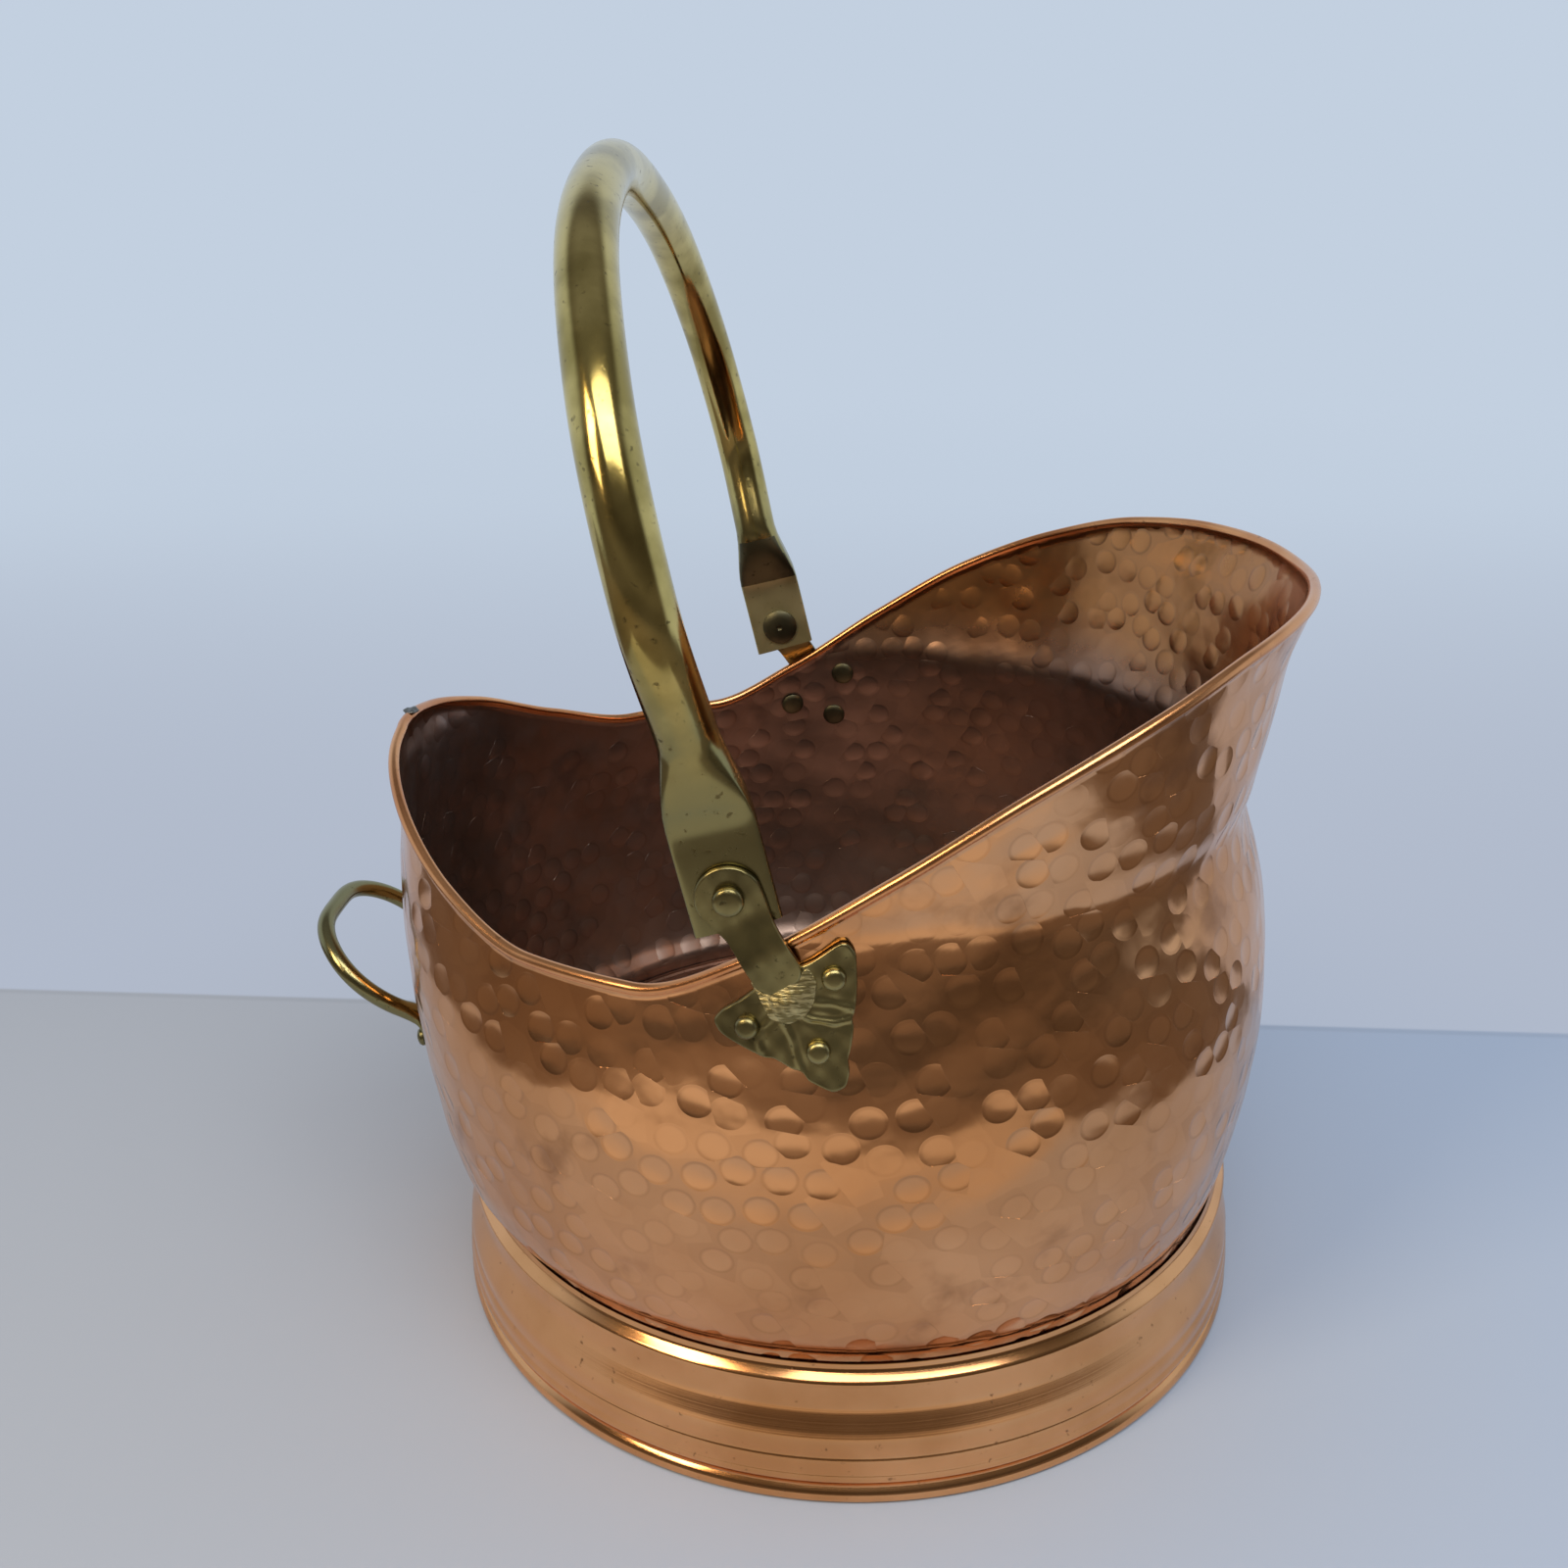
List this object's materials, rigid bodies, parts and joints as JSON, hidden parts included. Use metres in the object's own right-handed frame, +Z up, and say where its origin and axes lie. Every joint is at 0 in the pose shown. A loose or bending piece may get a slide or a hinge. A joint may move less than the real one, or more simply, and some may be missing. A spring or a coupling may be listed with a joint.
{
  "type": "coal scuttle",
  "caption": "Round metal coal scuttle with a helmet-cut rolled rim and pouring lip on a flared foot ring, a swinging arched tube bail on riveted leaf brackets and a fixed rear tipping loop.",
  "frame": {"origin": "on the floor, under the middle of the outline box at rest", "axes": "+Z up, +X towards the pouring lip, +Y to the scuttle's left when looking along +X"},
  "size_m": [0.3314, 0.293, 0.3782],
  "materials": {
    "copper_hammered": "hand hammered and polished copper sheet",
    "copper_plain": "spun and polished copper sheet",
    "brass_polished": "polished brass with light tarnish",
    "brass_satin": "worn, tarnished satin brass"
  },
  "bodies": {
    "scuttle": {"bucket_shell": "copper_hammered", "floor_pan": "copper_plain", "foot_ring": "copper_plain", "bracket_arm_near": "brass_satin", "bracket_arm_far": "brass_satin", "bracket_leaf_near": "brass_satin", "bracket_leaf_far": "brass_satin", "pivot_rivet_near": "brass_satin", "pivot_rivet_far": "brass_satin", "leaf_rivet_lower_near": "brass_satin", "leaf_rivet_front_near": "brass_satin", "leaf_rivet_rear_near": "brass_satin", "leaf_rivet_lower_far": "brass_satin", "leaf_rivet_front_far": "brass_satin", "leaf_rivet_rear_far": "brass_satin", "tipping_loop": "brass_polished", "loop_rivet_near": "brass_satin", "loop_rivet_far": "brass_satin"},
    "bail": {"bail_handle": "brass_polished"}
  },
  "joints": [
    {"name": "bail_hinge", "type": "hinge", "parent": "scuttle", "child": "bail", "pos_m": [-0.00855, 0, 0.1955], "axis": [0, 1, 0], "range_deg": [-112, 74]}
  ]
}
